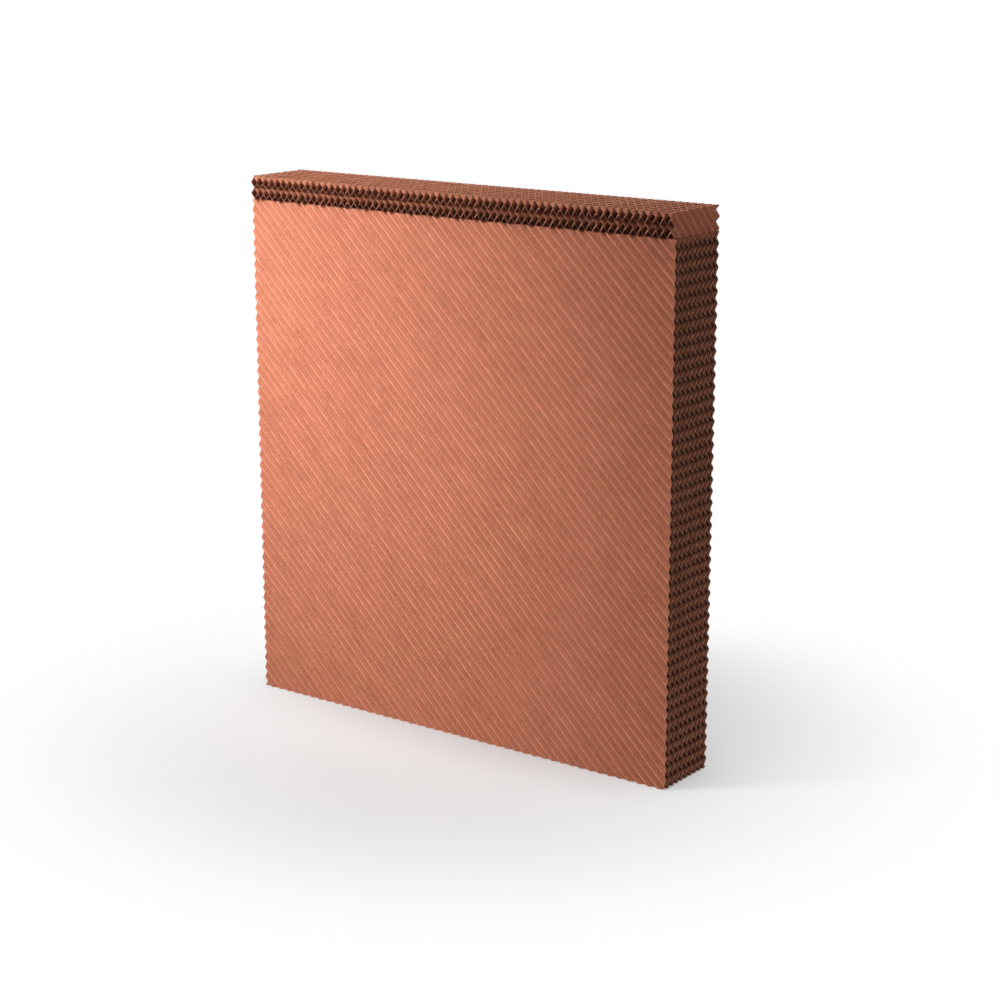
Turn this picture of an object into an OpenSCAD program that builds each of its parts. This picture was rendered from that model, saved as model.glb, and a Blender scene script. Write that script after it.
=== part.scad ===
// Evaporative cooling pad: cross-fluted paper sheets glued crest to crest, with a low strip
// of the same paper on top, its sheets set square to the broad face.
// Millimetres. X runs along the broad face, Y from front to back, Z up from the floor.

/* [Pad block] */
// Width of the pad along its broad face
pad_width = 660; // [200:1:1200]
// Height of the block under the top strip
pad_height = 680; // [200:1:1800]
// Sheets in the block, counted from front to back
pad_sheets = 19; // [3:2:59]
// Space that one sheet of the block takes from front to back
flute_height = 5.25; // [4:0.05:9]

/* [Top strip] */
// Height of the strip on top of the block
top_height = 31; // [15:0.5:120]
// Space that one sheet of the strip takes along the width, before the sheets are evened out
top_flute_height = 5.2; // [4:0.05:9]

/* [Paper] */
// Thickness of the fluted paper
paper = 0.3; // [0.2:0.05:0.6]
// Distance from flute to flute, square to the flutes
flute_pitch = 10.25; // [8:0.05:20]
// Lean of the flutes from the upright
flute_angle = 45; // [15:1:75]

/* [Where the cuts fall] */
// Distance from the left end of the block to its first row of flute crossings
end_inset = 2.05; // [0:0.05:7]
// Distance from the top of the block down to its first flute crossing
top_inset = 2.5; // [0:0.05:7]
// Distance from the top edge of the strip down to the widest mouths of its front face
mouth_drop = 0.8; // [0:0.1:7]

/* [Hidden] */
pad_depth = pad_sheets * flute_height;
// An odd number, so that both end sheets of the strip lean the same way
top_sheets = 2 * round((pad_width / top_flute_height - 1) / 2) + 1;
top_spacing = pad_width / top_sheets;
// Upright distance from one crest to the next along a cut edge
flute_rise = flute_pitch / sin(flute_angle);
// Room beyond a sheet for the blocks that cut it
spare = 1;
kraft = [0.80, 0.47, 0.34];
kraft_light = [0.86, 0.55, 0.41];

// Slope of the flanks of a wave that is a high
function slope(a) = let (
    run = flute_pitch / 2,
    rest = run * run - paper * paper,
    root = sqrt(pow(a * run, 2) - rest * (a * a - paper * paper)))
    (a * run - root) / rest;

// Thickness of the paper straight through the stack, where a flank is cut aslant
function through(a) = a - slope(a) * flute_pitch / 2;

// Sheet cut square to its flutes: a wave from y = 0 to y = a with a crest on the line x = slide
module section(a, count, slide)
    translate([slide, 0])
        polygon(concat(
            [for (i = [-count:count]) each [
                [i * flute_pitch, a],
                [(i + 0.5) * flute_pitch, through(a)]]],
            [for (i = [count:-1:-count]) each [
                [(i + 0.5) * flute_pitch, 0],
                [i * flute_pitch, a - through(a)]]]));

// Fluted sheet w wide and h high, standing on z = 0, with its flutes leaning to the right by lean
// and a crest on its back passing through the point mark
module sheet(w, h, a, lean, mark) {
    across = w * cos(lean) + h * abs(sin(lean));
    along = w * abs(sin(lean)) + h * cos(lean);
    count = ceil(across / 2 / flute_pitch) + 1;
    slide = (mark[0] * cos(lean) - (mark[1] - h / 2) * sin(lean)) % flute_pitch;
    intersection() {
        translate([-w / 2, -spare, 0])
            cube([w, a + 2 * spare, h]);
        translate([0, 0, h / 2])
            rotate([0, lean, 0])
                translate([0, 0, -along / 2 - flute_pitch])
                    linear_extrude(along + 2 * flute_pitch)
                        section(a, count, slide);
    }
}

// Sheet number k of the block, counted from the front, with every second one leaning the other way
module pad_sheet(k) {
    falls = k % 2 == 0;
    z = pad_height - top_inset + (falls ? flute_rise / 2 : 0);
    translate([0, k * flute_height - pad_depth / 2, 0])
        sheet(pad_width, pad_height, flute_height, falls ? -flute_angle : flute_angle,
            [end_inset - pad_width / 2, z]);
}

// Sheet number k of the strip, counted from the left, with every second one leaning the other way
module top_sheet(k) {
    rises = k % 2 == 1;
    z = top_height - mouth_drop - (rises ? 0 : flute_rise / 2);
    translate([(k + 1) * top_spacing - pad_width / 2, 0, pad_height])
        rotate([0, 0, 90])
            sheet(pad_depth, top_height, top_spacing, rises ? flute_angle : -flute_angle,
                [-pad_depth / 2, z]);
}

// Sheets of the block whose flutes fall to the right, the front and back ones among them
module pad_sheets_falling()
    color(kraft)
        for (k = [0:2:pad_sheets - 1])
            pad_sheet(k);

// Sheets of the block whose flutes rise to the right
module pad_sheets_rising()
    color(kraft_light)
        for (k = [1:2:pad_sheets - 1])
            pad_sheet(k);

// Sheets of the strip whose flutes rise to the back
module top_sheets_rising()
    color(kraft_light)
        for (k = [1:2:top_sheets - 1])
            top_sheet(k);

// Sheets of the strip whose flutes fall to the back, the two end ones among them
module top_sheets_falling()
    color(kraft)
        for (k = [0:2:top_sheets - 1])
            top_sheet(k);

pad_sheets_falling();
pad_sheets_rising();
top_sheets_rising();
top_sheets_falling();
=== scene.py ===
import math

import bpy
import numpy as np
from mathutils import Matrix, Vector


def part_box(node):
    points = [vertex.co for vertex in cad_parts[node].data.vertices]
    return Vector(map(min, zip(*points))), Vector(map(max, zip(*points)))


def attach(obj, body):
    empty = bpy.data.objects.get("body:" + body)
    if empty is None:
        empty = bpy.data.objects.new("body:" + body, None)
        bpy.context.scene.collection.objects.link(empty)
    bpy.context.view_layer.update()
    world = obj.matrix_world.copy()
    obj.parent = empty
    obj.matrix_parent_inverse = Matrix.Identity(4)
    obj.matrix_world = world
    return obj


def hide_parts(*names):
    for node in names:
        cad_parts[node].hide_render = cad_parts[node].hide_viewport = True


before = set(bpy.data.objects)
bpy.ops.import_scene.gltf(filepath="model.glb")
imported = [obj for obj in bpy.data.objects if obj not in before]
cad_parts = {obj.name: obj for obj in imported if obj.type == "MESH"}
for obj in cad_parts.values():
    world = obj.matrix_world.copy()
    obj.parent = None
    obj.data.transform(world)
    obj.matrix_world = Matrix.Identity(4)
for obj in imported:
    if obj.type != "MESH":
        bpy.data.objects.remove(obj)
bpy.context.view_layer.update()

mm = 0.001


# Shader maths

class Wire:
    # a socket of a node tree, so that sums on it add Math nodes
    def __init__(self, paint, socket):
        self.paint = paint
        self.socket = socket

    def math(self, operation, *values):
        return self.paint.node("ShaderNodeMath", {"operation": operation}, dict(enumerate(values)))

    def __add__(self, other):
        return self.math("ADD", self, other)

    def __radd__(self, other):
        return self.math("ADD", other, self)

    def __sub__(self, other):
        return self.math("SUBTRACT", self, other)

    def __rsub__(self, other):
        return self.math("SUBTRACT", other, self)

    def __mul__(self, other):
        return self.math("MULTIPLY", self, other)

    def __rmul__(self, other):
        return self.math("MULTIPLY", other, self)


class Paint:
    # the node tree of a material or of the world
    def __init__(self, owner):
        owner.use_nodes = True
        self.owner = owner
        self.tree = owner.node_tree
        self.tree.nodes.clear()

    def node(self, kind, settings=None, sockets=None, out=0):
        made = self.tree.nodes.new(kind)
        for key, value in (settings or {}).items():
            setattr(made, key, value)
        for key, value in (sockets or {}).items():
            if isinstance(value, Wire):
                self.tree.links.new(value.socket, made.inputs[key])
            else:
                made.inputs[key].default_value = value
        return Wire(self, made.outputs[out]) if made.outputs else made

    def attribute(self, name, out):
        return self.node("ShaderNodeAttribute", {"attribute_name": name}, out=out)

    def stretch(self, point, scale):
        return self.node("ShaderNodeVectorMath", {"operation": "MULTIPLY"}, {0: point, 1: scale})

    def noise(self, point, scale, detail=3.0, rough=0.55):
        return self.node("ShaderNodeTexNoise", {}, {
            "Vector": self.stretch(point, scale), "Scale": 1.0, "Detail": detail, "Roughness": rough})

    def ramp(self, value, low, high):
        # 0 at low and 1 at high, with soft ends
        return self.node("ShaderNodeMapRange", {"interpolation_type": "SMOOTHSTEP"}, {
            "Value": value, "From Min": low, "From Max": high})

    def mix(self, share, first, second, blend="MIX"):
        # a Mix node's colours have sockets 6 and 7, and its mixed colour has socket 2
        return self.node("ShaderNodeMix", {"data_type": "RGBA", "blend_type": blend}, {
            0: share, 6: first, 7: second}, out=2)

    def finish(self, shader, output="ShaderNodeOutputMaterial"):
        self.node(output, {}, {"Surface": shader})
        return self.owner


# Paper

kraftPaper = {
    "light": (0.64, 0.237, 0.140, 1),
    "middle": (0.52, 0.183, 0.105, 1),
    "dark": (0.39, 0.128, 0.071, 1),
    # painted highlight along the crests
    "crestPaintedLight": (0.88, 0.345, 0.212, 1),
    "inside": (0.19, 0.185, 0.19, 1),  # painted shade: a tint deep in the stack, away from the cuts
    "fibreScale": (2600.0, 330.0, 1.0),  # spots per metre, square to the flutes and along them
    "lintScale": (460.0, 460.0, 1.0),
    "mottleScale": (70.0, 28.0, 1.0),
    "cloudScale": (9.0, 6.0, 1.0),
    "fibreShade": 0.5,  # how much each pattern counts in the shade of the paper
    "lintShade": 1.05,
    "mottleShade": 0.35,
    "cloudShade": 0.1,
    "toneShade": 0.09,  # the same for the sheet's own tone
    "middleFrom": (0.82, 1.10),  # shades between which dark goes over into middle
    "lightFrom": (1.05, 1.34),
    "valleyShade": 0.8,  # share of painted shade in the valleys
    "valleyShadeFrom": (-0.65, -0.96),  # -1 is the bottom of a valley, 1 the top of a crest
    "crestLightFrom": (0.88, 0.99),  # crests that get a painted highlight, in patches
    "crestLightMottle": 0.6,
    "crestLightPatches": (0.55, 0.95),
    "deepFrom": (0.2, 1.0),  # depths, as shares of a mouth, between which the painted shade sets in
    "overhang": (0.2, -0.4),  # the painted shade sets in nearer the cut where a face looks down
    "fibreRelief": 0.6,
    "lintRelief": 0.4,
    "roughness": 0.78,
    "roughVary": 0.25,
    "gloss": 0.22,
    "bump": 0.28,
    "bumpDepth": 0.05 * mm,
    "cutEdge": (0.56, 0.28, 0.18, 1),
    "cutShade": (0.42, 0.19, 0.12, 1),
    "fuzzScale": (1800.0, 1800.0, 1.0),
    "sawScale": (160.0, 160.0, 1.0),
    "cutCount": 0.6,  # how much fuzz and saw marks each count in the shade of a cut
    "cutFrom": (0.4, 0.8),
    "cutRoughness": 0.85,
    "cutVary": 0.2,
    "cutBump": 0.448}

stripPaper = dict(
    kraftPaper,
    light=(0.64, 0.256, 0.151, 1),
    middle=(0.52, 0.198, 0.113, 1),
    dark=(0.39, 0.138, 0.077, 1),
    crestPaintedLight=(0.39, 0.138, 0.077, 1),  # painted shade along its crests, against their highlight
    # a lighter painted shade deep in the strip
    inside=(0.33, 0.45, 0.50, 1),
    cutEdge=(0.52, 0.245, 0.156, 1),
    cutShade=(0.38, 0.165, 0.106, 1))

noiseMean = 0.5


def paintPaper(name, look):
    paint = Paint(bpy.data.materials.new(name))
    point = paint.attribute("paperPoint", "Vector")
    crest = paint.attribute("crest", "Fac")
    tone = paint.attribute("tone", "Fac")
    inside = paint.attribute("inside", "Fac")
    fibre = paint.noise(point, look["fibreScale"], detail=4.0, rough=0.6)
    lint = paint.noise(point, look["lintScale"], detail=5.0, rough=0.65)
    mottle = paint.noise(point, look["mottleScale"])
    cloud = paint.noise(point, look["cloudScale"], detail=2.0)
    shade = (fibre * look["fibreShade"] + lint * look["lintShade"] + mottle * look["mottleShade"]
             + cloud * look["cloudShade"] + tone * look["toneShade"])
    colour = paint.mix(paint.ramp(shade, *look["middleFrom"]), look["dark"], look["middle"])
    colour = paint.mix(paint.ramp(shade, *look["lightFrom"]), colour, look["light"])
    # painted shade, darkest at the bottom of each valley
    valleyShade = paint.ramp(crest, *look["valleyShadeFrom"]) * look["valleyShade"]
    colour = paint.mix(valleyShade, colour, look["dark"])
    # painted highlight along the crests, in patches; the strip's dark colour makes it a painted shade
    # there
    patches = paint.ramp(lint + mottle * look["crestLightMottle"], *look["crestLightPatches"])
    crestLight = paint.ramp(crest, *look["crestLightFrom"]) * patches
    colour = paint.mix(crestLight, colour, look["crestPaintedLight"])
    # painted shade deep in the stack, nearer the cuts on faces that look down
    upward = paint.node("ShaderNodeVectorMath", {"operation": "DOT_PRODUCT"}, {
        0: paint.node("ShaderNodeNewGeometry", out="Normal"), 1: (0, 0, 1)}, out="Value")
    deep = inside * (1 + paint.ramp(upward, *look["overhang"]))
    colour = paint.mix(paint.ramp(deep, *look["deepFrom"]), colour, look["inside"], "MULTIPLY")
    relief = fibre * look["fibreRelief"] + lint * look["lintRelief"]
    normal = paint.node("ShaderNodeBump", {}, {
        "Height": relief, "Strength": look["bump"], "Distance": look["bumpDepth"]})
    return paint.finish(paint.node("ShaderNodeBsdfPrincipled", {}, {
        "Base Color": colour,
        "Roughness": look["roughness"] + (lint - noiseMean) * look["roughVary"],
        "Specular IOR Level": look["gloss"],
        "Normal": normal}))


def paintCutEdge(name, look):
    paint = Paint(bpy.data.materials.new(name))
    point = paint.attribute("paperPoint", "Vector")
    fuzz = paint.noise(point, look["fuzzScale"], detail=4.0, rough=0.65)
    saw = paint.noise(point, look["sawScale"], detail=2.0)
    marks = fuzz * look["cutCount"] + saw * look["cutCount"]
    colour = paint.mix(paint.ramp(marks, *look["cutFrom"]), look["cutShade"], look["cutEdge"])
    normal = paint.node("ShaderNodeBump", {}, {
        "Height": fuzz, "Strength": look["cutBump"], "Distance": look["bumpDepth"]})
    return paint.finish(paint.node("ShaderNodeBsdfPrincipled", {}, {
        "Base Color": colour,
        "Roughness": look["cutRoughness"] + (fuzz - noiseMean) * look["cutVary"],
        "Specular IOR Level": look["gloss"],
        "Normal": normal}))


blockLooks = [paintPaper("kraft_paper", kraftPaper), paintCutEdge("kraft_paper_cut", kraftPaper)]
stripLooks = [paintPaper("strip_paper", stripPaper), paintCutEdge("strip_paper_cut", stripPaper)]
print("paper painted")


# Fluted sheets, in millimetres until they become meshes

fluteForm = {
    "pitch": 10.25,
    "lean": 45.0,
    "paper": 0.3,
    "sharp": 0.88,  # 0 is a sine wave, 1 a sharp zigzag
    "samples": 14,  # points in each wave
    "crowd": 0.45,  # how far those points crowd towards the crests
    "wander": 0.22,  # how far a crest strays from its straight line
    "wanderWaves": 5,
    "wanderPeak": 3.0,  # about the most that those waves add up to
    "wanderRate": 0.03,  # radians per millimetre along the flutes
    "wanderSkew": 1.6,  # how much faster they turn across the flutes
    "wanderFade": 6.0,  # distance from a corner at which the stray is full
    "sawFray": 0.12,  # how far the cut strays inwards
    "cornerTrim": 0.05,  # kept off the corners where a flute would have no length
    "rimLimit": 0.25,  # most of a short flute that one of its ends may take
    "skinLimit": 1.6,  # most that a steep flank is thickened
    "backShift": 40.0,  # sets the pattern of a sheet's back apart from its front's
    "paperRoll": 900.0,  # length of paper over which the sheets' patterns are spread
    "crease": 50.0,  # edges that turn by more degrees are shaded sharp
    "seed": 20}

rng = np.random.default_rng(fluteForm["seed"])
pitch = fluteForm["pitch"]
rise = pitch / math.sin(math.radians(fluteForm["lean"]))


def waveAt(turn):
    sharp = fluteForm["sharp"]
    return np.arcsin(sharp * np.cos(2 * np.pi * turn)) / math.asin(sharp)


def waveSlope(turn):
    step = 1e-4
    return (waveAt(turn + step) - waveAt(turn - step)) / (2 * step * pitch)


def wanderField():
    # a slow, smooth stray of the flutes over a sheet
    rate = fluteForm["wanderRate"]
    waves = rng.uniform(-rate, rate, (fluteForm["wanderWaves"], 2))
    phases = rng.uniform(0, 2 * np.pi, fluteForm["wanderWaves"])
    return lambda across, along: fluteForm["wander"] / fluteForm["wanderPeak"] * sum(
        np.sin(a * fluteForm["wanderSkew"] * across + b * along + p) for (a, b), p in zip(waves, phases))


def fluteLines(slide, reach, corner):
    # where a sheet has points, square to its flutes: in every wave, at its corners and at both limits
    count = math.ceil(reach / pitch) + 1
    even = np.arange(fluteForm["samples"]) / fluteForm["samples"]
    turns = even - fluteForm["crowd"] * np.sin(4 * np.pi * even) / (4 * np.pi)
    periods = np.arange(-count, count + 1)[:, None]
    lines = (slide % pitch + (periods + turns) * pitch).ravel()
    limit = reach - fluteForm["cornerTrim"]
    lines = np.r_[lines[abs(lines) < limit], -corner, corner, -limit, limit]
    return np.unique(np.round(lines, decimals=4))


def flutedSheet(width, height, thick, lean, mark, cuts, stack):
    # one sheet from y = 0 to y = thick, standing on z = 0, with a back crest through the point mark
    c, s = math.cos(math.radians(lean)), math.sin(math.radians(lean))
    slide = mark[0] * c - (mark[1] - height / 2) * s
    reach = (width * c + height * abs(s)) / 2
    lines = fluteLines(slide, reach, abs(width * c - height * abs(s)) / 2)
    stray = wanderField()
    fade = np.clip((reach - abs(lines)) / fluteForm["wanderFade"], 0, 1)

    def ends(at):
        # both ends of a flute, and which of them lie on the sheet's bottom or top edge
        sides = np.sort([(-width / 2 - at * c) / s, (width / 2 - at * c) / s], axis=0)
        levels = np.sort([(-height / 2 + at * s) / c, (height / 2 + at * s) / c], axis=0)
        return (np.maximum(sides[0], levels[0]), np.minimum(sides[1], levels[1]),
                np.stack([levels[0] > sides[0], levels[1] < sides[1]]))

    low, high, level = ends(lines)
    low = ends(lines + fade * stray(lines, low))[0]
    high = ends(lines + fade * stray(lines, high))[1]
    fray = abs(rng.normal(0, fluteForm["sawFray"] / 2, (2, len(lines))))
    fray = np.minimum(fray, (high - low) * fluteForm["rimLimit"])
    low, high = low + fray[0], high - fray[1]
    mouths = np.where(level, stack["topMouth"], stack["endMouth"])
    rims = np.minimum(mouths, (high - low) * fluteForm["rimLimit"])
    shares = np.linspace(0, 1, cuts - 2)
    body = (low + rims[0])[:, None] + (high - low - rims.sum(0))[:, None] * shares
    along = np.c_[low, body, high]
    swell = np.r_[stack["flare"], np.ones(cuts - 2), stack["flare"]]
    across = lines[:, None] + fade[:, None] * stray(lines[:, None], along)
    wave = waveAt((lines - slide) / pitch)
    half = (thick - fluteForm["paper"]) / 2
    bend = np.sqrt(1 + (half * waveSlope((lines - slide) / pitch)) ** 2)
    middle = thick / 2 + half * wave
    skin = (fluteForm["paper"] / 2 * np.minimum(bend, fluteForm["skinLimit"]))[:, None] * swell
    x = np.clip(across * c + along * s, -width / 2, width / 2)
    z = np.clip(along * c - across * s + height / 2, 0, height)
    spread = np.ones(cuts)
    front = np.stack([x, np.maximum(middle[:, None] - skin, 0), z], -1)
    back = np.stack([x, np.minimum(middle[:, None] + skin, thick), z], -1)
    arc = np.r_[0, np.cumsum(np.hypot(np.diff(lines), np.diff(middle)))]
    paper = np.stack([arc[:, None] * spread, along, np.zeros_like(along)], -1)
    # depth from the nearer cut, in mouths, which sets how far the painted shade has grown
    fromLow = (along - low[:, None]) / mouths[0][:, None]
    fromHigh = (high[:, None] - along) / mouths[1][:, None]
    depth = np.minimum(fromLow, fromHigh)
    return {
        "points": np.stack([front, back]),
        "inside": np.stack([depth, depth]),
        "paper": np.stack([paper, paper + [0, 0, fluteForm["backShift"]]]),
        "crest": np.stack([-wave[:, None] * spread, wave[:, None] * spread])}


def sheetFaces(rows, cuts):
    # quads of both sides, then the cut edges that close the sheet
    at = np.arange(2 * rows * cuts).reshape(2, rows, cuts)
    f, b = at
    sides = [(f[:-1, :-1], f[1:, :-1], f[1:, 1:], f[:-1, 1:]),
             (b[:-1, :-1], b[:-1, 1:], b[1:, 1:], b[1:, :-1])]
    rims = [(f[1:, 0], f[:-1, 0], b[:-1, 0], b[1:, 0]),
            (f[:-1, -1], f[1:, -1], b[1:, -1], b[:-1, -1]),
            (f[0, :-1], f[0, 1:], b[0, 1:], b[0, :-1]),
            (f[-1, 1:], f[-1, :-1], b[-1, :-1], b[-1, 1:])]
    quads = [np.stack(q, -1).reshape(-1, 4) for q in sides + rims]
    flat = sum(len(q) for q in quads[:2])
    quads = np.concatenate(quads)
    return quads, (np.arange(len(quads)) >= flat).astype(np.int32)


def makePiece(name, sheets, replaced, paperLooks):
    points, papers, crests, tones, insides, quads, looks = [], [], [], [], [], [], []
    start = 0
    for sheet in sheets:
        rows, cuts = sheet["points"].shape[1:3]
        faces, look = sheetFaces(rows, cuts)
        quads.append(faces + start)
        looks.append(look)
        points.append(sheet["points"].reshape(-1, 3))
        shift = rng.uniform(0, fluteForm["paperRoll"], 3)
        papers.append(sheet["paper"].reshape(-1, 3) + shift)
        crests.append(sheet["crest"].ravel())
        tones.append(np.full(2 * rows * cuts, rng.uniform(-1, 1)))
        insides.append((sheet["inside"] * np.reshape(sheet["covered"], (2, 1, 1))).ravel())
        start += 2 * rows * cuts
    quads = np.concatenate(quads).astype(np.int32)
    mesh = bpy.data.meshes.new(name)
    mesh.vertices.add(start)
    mesh.vertices.foreach_set("co", (np.concatenate(points) * mm).astype(np.float32).ravel())
    mesh.loops.add(quads.size)
    mesh.loops.foreach_set("vertex_index", quads.ravel())
    mesh.polygons.add(len(quads))
    mesh.polygons.foreach_set("loop_start", np.arange(0, quads.size, 4, dtype=np.int32))
    mesh.polygons.foreach_set("material_index", np.concatenate(looks))
    for look in paperLooks:
        mesh.materials.append(look)
    mesh.update(calc_edges=True)
    mesh.validate()
    mesh.shade_smooth()
    mesh.set_sharp_from_angle(angle=math.radians(fluteForm["crease"]))
    for label, kind, field, values in (
            ("paperPoint", "FLOAT_VECTOR", "vector", np.concatenate(papers) * mm),
            ("crest", "FLOAT", "value", np.concatenate(crests)),
            ("tone", "FLOAT", "value", np.concatenate(tones)),
            ("inside", "FLOAT", "value", np.concatenate(insides))):
        layer = mesh.attributes.new(label, kind, "POINT")
        layer.data.foreach_set(field, values.astype(np.float32).ravel())
    piece = bpy.data.objects.new(name, mesh)
    bpy.context.scene.collection.objects.link(piece)
    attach(piece, "root")
    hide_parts(replaced)
    print(name, len(sheets), "sheets,", 2 * len(quads), "triangles")


# Block

block = {
    "sheets": 19,
    "endInset": 2.05,  # from the left end to the first row of crossings
    "topInset": 2.5,  # from the block's top to its first crossing
    "endMouth": 4.0,  # how far in from the ends the painted shade takes to grow full
    "topMouth": 4.0,  # the same from the top and bottom
    "flare": 1.5,  # thickness of the paper at a cut, frayed by the saw, as a share of its own
    "outerCuts": 14,
    "innerCuts": 4,
    "pressed": 0.78}  # depth of the front sheet's flutes, flattened from the front, as a share of the rest

blockLow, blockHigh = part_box("pad_sheets_falling")
padWidth = (blockHigh.x - blockLow.x) / mm
padDepth = (blockHigh.y - blockLow.y) / mm
padHeight = (blockHigh.z - blockLow.z) / mm
blockSpace = padDepth / block["sheets"]
last = block["sheets"] - 1


def blockSheet(k, cuts):
    falls = k % 2 == 0
    lean = -fluteForm["lean"] if falls else fluteForm["lean"]
    mark = (block["endInset"] - padWidth / 2, padHeight - block["topInset"] + (rise / 2 if falls else 0))
    share = block["pressed"] if k == 0 else 1
    sheet = flutedSheet(padWidth, padHeight, blockSpace * share, lean, mark, cuts, block)
    sheet["points"] = sheet["points"] + [0, (k + 1 - share) * blockSpace - padDepth / 2, 0]
    sheet["covered"] = (k > 0, k < last)
    return sheet


makePiece("front_sheet", [blockSheet(0, block["outerCuts"])], "pad_sheets_falling", blockLooks)
makePiece("back_sheet", [blockSheet(last, block["outerCuts"])], "pad_sheets_falling", blockLooks)
makePiece("inner_sheets_falling", [blockSheet(k, block["innerCuts"]) for k in range(2, last, 2)],
          "pad_sheets_falling", blockLooks)
makePiece("inner_sheets_rising", [blockSheet(k, block["innerCuts"]) for k in range(1, last, 2)],
          "pad_sheets_rising", blockLooks)


# Top strip

strip = {
    "sheets": 127,
    "mouthDrop": 0.8,  # from the strip's top edge to the widest mouths
    "endMouth": 11.0,  # this and the next two mean the same as in the block
    "topMouth": 2.4,
    "flare": 1.0,
    "cuts": 4}

stripLow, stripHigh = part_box("top_sheets_falling")
stripHeight = (stripHigh.z - stripLow.z) / mm
stripSpace = padWidth / strip["sheets"]


def stripSheet(k):
    rises = k % 2 == 1
    lean = fluteForm["lean"] if rises else -fluteForm["lean"]
    mark = (-padDepth / 2, stripHeight - strip["mouthDrop"] - (0 if rises else rise / 2))
    sheet = flutedSheet(padDepth, stripHeight, stripSpace, lean, mark, strip["cuts"], strip)
    x, y, z = np.moveaxis(sheet["points"], -1, 0)
    # turned a quarter, so that the sheet stands square to the broad face
    sheet["points"] = np.stack([(k + 1) * stripSpace - padWidth / 2 - y, x, z + padHeight], -1)
    sheet["covered"] = (k < strip["sheets"] - 1, k > 0)
    return sheet


makePiece("strip_sheets_rising", [stripSheet(k) for k in range(1, strip["sheets"], 2)],
          "top_sheets_rising", stripLooks)
makePiece("strip_sheets_falling", [stripSheet(k) for k in range(0, strip["sheets"], 2)],
          "top_sheets_falling", stripLooks)


# Studio

studio = {
    "floor": (0.48, 0.48, 0.48, 1),
    "grain": (0.41, 0.41, 0.41, 1),
    "grainShare": 0.05,
    "grainScale": (30.0, 30.0, 30.0),
    "bounce": (0.30, 0.30, 0.30, 1),  # the floor's colour for the light that it throws back
    "floorHalf": 60.0,  # half of its side, in metres
    "fadeStart": 0.05,  # from here to fadeEnd, in metres from the origin, the floor goes over into white
    "fadeEnd": 0.7,
    "ambient": 0.03}

keyLight = {
    "place": (-1.57, -1.48, 2.04),
    "aim": (-0.47, -0.05, 0.74),
    "size": 1.0,
    "spread": 32.0,
    "power": 9.0}

topLight = {
    "place": (-0.2, -0.2, 3.0),
    "aim": (-0.2, -0.2, 0.0),
    "size": 2.4,
    "spread": 24.0,
    "power": 13.0}

sideLight = {
    "place": (2.6, 0.35, 0.7),
    "aim": (0.33, 0.0, 0.45),
    "size": 1.2,
    "spread": 70.0,
    "power": 3.3}


def seenDirectly(paint):
    # camera, mirror and glass rays, which show the white background
    path = paint.node("ShaderNodeLightPath").socket.node
    names = ("Is Camera Ray", "Is Glossy Ray", "Is Transmission Ray")
    camera, mirror, glass = [Wire(paint, path.outputs[name]) for name in names]
    return camera.math("MAXIMUM", camera.math("MAXIMUM", camera, mirror), glass)


def makeFloor():
    paint = Paint(bpy.data.materials.new("studio_floor"))
    place = paint.node("ShaderNodeNewGeometry", out="Position")
    away = paint.node("ShaderNodeVectorMath", {"operation": "LENGTH"}, {0: place}, out="Value")
    grain = paint.noise(place, studio["grainScale"], detail=2.0)
    seen = seenDirectly(paint)
    colour = paint.mix(grain * studio["grainShare"], studio["floor"], studio["grain"])
    matt = paint.node("ShaderNodeBsdfPrincipled", {}, {
        "Base Color": paint.mix(seen, studio["bounce"], colour),
        "Roughness": 1.0,
        "Specular IOR Level": 0.0})
    white = paint.node("ShaderNodeEmission", {}, {"Strength": 1.0})
    share = paint.ramp(away, studio["fadeStart"], studio["fadeEnd"]) * seen
    paint.finish(paint.node("ShaderNodeMixShader", {}, {0: share, 1: matt, 2: white}))
    half = studio["floorHalf"]
    mesh = bpy.data.meshes.new("studio_floor")
    corners = [(-half, -half, 0), (half, -half, 0), (half, half, 0), (-half, half, 0)]
    mesh.from_pydata(corners, [], [(0, 1, 2, 3)])
    mesh.materials.append(paint.owner)
    floor = bpy.data.objects.new("studio_floor", mesh)
    bpy.context.scene.collection.objects.link(floor)


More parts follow.
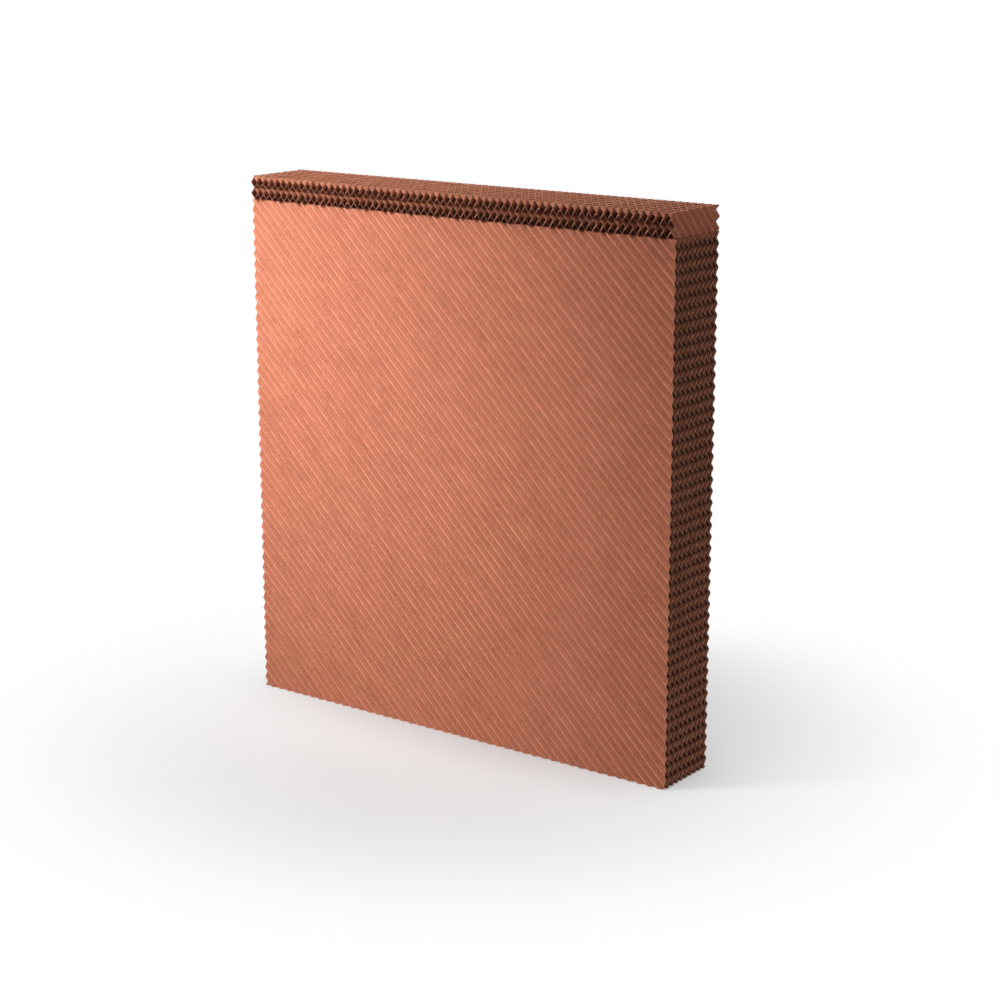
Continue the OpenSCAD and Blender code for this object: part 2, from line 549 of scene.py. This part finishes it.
def makeWorld():
    paint = Paint(bpy.data.worlds.new("studio_world"))
    bpy.context.scene.world = paint.owner
    dim = paint.node("ShaderNodeBackground", {}, {"Color": (1, 1, 1, 1), "Strength": studio["ambient"]})
    white = paint.node("ShaderNodeBackground", {}, {"Color": (1, 1, 1, 1), "Strength": 1.0})
    paint.finish(paint.node("ShaderNodeMixShader", {}, {0: seenDirectly(paint), 1: dim, 2: white}),
                 "ShaderNodeOutputWorld")


def makeLight(name, soft):
    lamp = bpy.data.lights.new(name, "AREA")
    lamp.shape = "DISK"
    lamp.size = soft["size"]
    lamp.spread = math.radians(soft["spread"])
    lamp.energy = soft["power"]
    light = bpy.data.objects.new(name, lamp)
    bpy.context.scene.collection.objects.link(light)
    light.location = soft["place"]
    aim = np.subtract(soft["aim"], soft["place"])
    light.rotation_euler = (math.acos(-aim[2] / np.linalg.norm(aim)), 0, math.atan2(-aim[0], aim[1]))


makeFloor()
makeWorld()
makeLight("key_light", keyLight)
makeLight("top_light", topLight)
makeLight("side_light", sideLight)
print("studio lit")


# Camera, at the photograph's viewing angle

view = {
    "azimuth": 36.52,
    "elevation": 14.49,
    "distance": 2.9615,  # from the plane through the origin that faces the camera
    "aside": 0.0341,  # how far the axis passes the origin, to the right and above
    "above": 0.299,
    "lens": 79.96}


def makeCamera():
    azimuth, elevation = math.radians(view["azimuth"]), math.radians(view["elevation"])
    right = np.array([math.cos(azimuth), math.sin(azimuth), 0])
    back = np.array([math.sin(azimuth) * math.cos(elevation), -math.cos(azimuth) * math.cos(elevation),
                     math.sin(elevation)])
    up = np.cross(back, right)
    data = bpy.data.cameras.new("camera")
    data.lens = view["lens"]
    camera = bpy.data.objects.new("camera", data)
    bpy.context.scene.collection.objects.link(camera)
    camera.location = right * view["aside"] + up * view["above"] + back * view["distance"]
    camera.rotation_euler = (math.pi / 2 - elevation, 0, azimuth)
    bpy.context.scene.camera = camera


makeCamera()
bpy.context.scene.view_settings.view_transform = "Standard"
print("camera placed")
